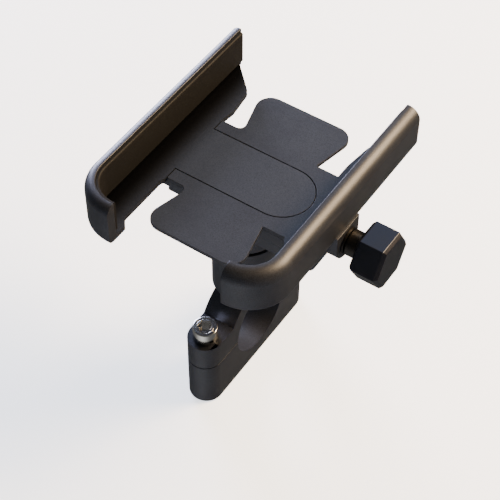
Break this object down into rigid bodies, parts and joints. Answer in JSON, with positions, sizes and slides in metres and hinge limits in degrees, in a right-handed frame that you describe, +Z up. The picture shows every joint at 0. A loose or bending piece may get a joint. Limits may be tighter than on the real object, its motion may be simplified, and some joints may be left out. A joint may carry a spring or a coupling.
{
  "type": "phone handlebar mount",
  "caption": "Phone mount for a handlebar: a split bar clamp and swivel post carry a cradle plate with hooked jaws, which a side knob opens and closes on a lead screw.",
  "frame": {"origin": "centre of the handlebar bore, at the middle of the clamp's width", "axes": "+X along the handlebar, across the phone and toward the knob; +Y toward the phone's top edge, away from the jaws' hooked ends; +Z up, from the handlebar to the phone"},
  "size_m": [0.1017, 0.1027, 0.1178],
  "materials": {
    "black_aluminium": "bead-blasted and black anodised, satin",
    "pad_rubber": "matt black strip, glued on",
    "bright_steel": "stainless, turned and polished",
    "dark_steel": "black oxide over steel",
    "brass": "as machined",
    "white_nylon": "natural nylon"
  },
  "bodies": {
    "clamp": {"clamp_upper": "black_aluminium", "post": "black_aluminium", "post_screw": "bright_steel", "swivel_bolt": "bright_steel", "swivel_washer": "white_nylon", "wave_washer": "dark_steel"},
    "clamp_lower": {"clamp_lower": "black_aluminium"},
    "bolt_near": {"clamp_bolt_near": "bright_steel"},
    "bolt_far": {"clamp_bolt_far": "bright_steel"},
    "head": {"base_frame": "black_aluminium", "channel_body": "black_aluminium", "fixed_jaw_pad": "pad_rubber", "body_screw_1": "bright_steel", "body_screw_2": "bright_steel", "body_screw_3": "bright_steel", "body_screw_4": "bright_steel"},
    "jaw": {"moving_jaw": "black_aluminium", "moving_jaw_pad": "pad_rubber", "drive_block": "brass", "guide_rod_near": "bright_steel", "guide_rod_far": "bright_steel", "block_screw_near": "bright_steel", "block_screw_far": "bright_steel"},
    "knob": {"knob": "black_aluminium", "lead_screw": "dark_steel", "retaining_clip": "dark_steel", "thrust_washer": "dark_steel"}
  },
  "joints": [
    {"name": "head_swivel", "type": "hinge", "parent": "clamp", "child": "head", "pos_m": [0, 0, 0.0485], "axis": [0, 0, 1], "continuous": true},
    {"name": "jaw_slide", "type": "slide", "parent": "head", "child": "jaw", "axis": [-1, 0, 0], "range_m": [0, 0.03]},
    {"name": "knob_turn", "type": "hinge", "parent": "head", "child": "knob", "pos_m": [0.05, 0, 0.0708], "axis": [1, 0, 0], "range_deg": [0, 10800]},
    {"name": "clamp_release", "type": "slide", "parent": "clamp", "child": "clamp_lower", "axis": [0, 0, -1], "range_m": [0, 0.004]},
    {"name": "clamp_bolt_near_turn", "type": "hinge", "parent": "clamp", "child": "bolt_near", "pos_m": [0, -0.028, 0.012], "axis": [0, 0, 1], "range_deg": [0, 1440]},
    {"name": "clamp_bolt_far_turn", "type": "hinge", "parent": "clamp", "child": "bolt_far", "pos_m": [0, 0.028, 0.012], "axis": [0, 0, 1], "range_deg": [0, 1440]}
  ],
  "couplings": [
    {"joint": "knob_turn", "follows": "jaw_slide", "rad_per_m": 6283.2},
    {"joint": "clamp_bolt_near_turn", "follows": "clamp_release", "rad_per_m": 6283.2},
    {"joint": "clamp_bolt_far_turn", "follows": "clamp_release", "rad_per_m": 6283.2}
  ]
}
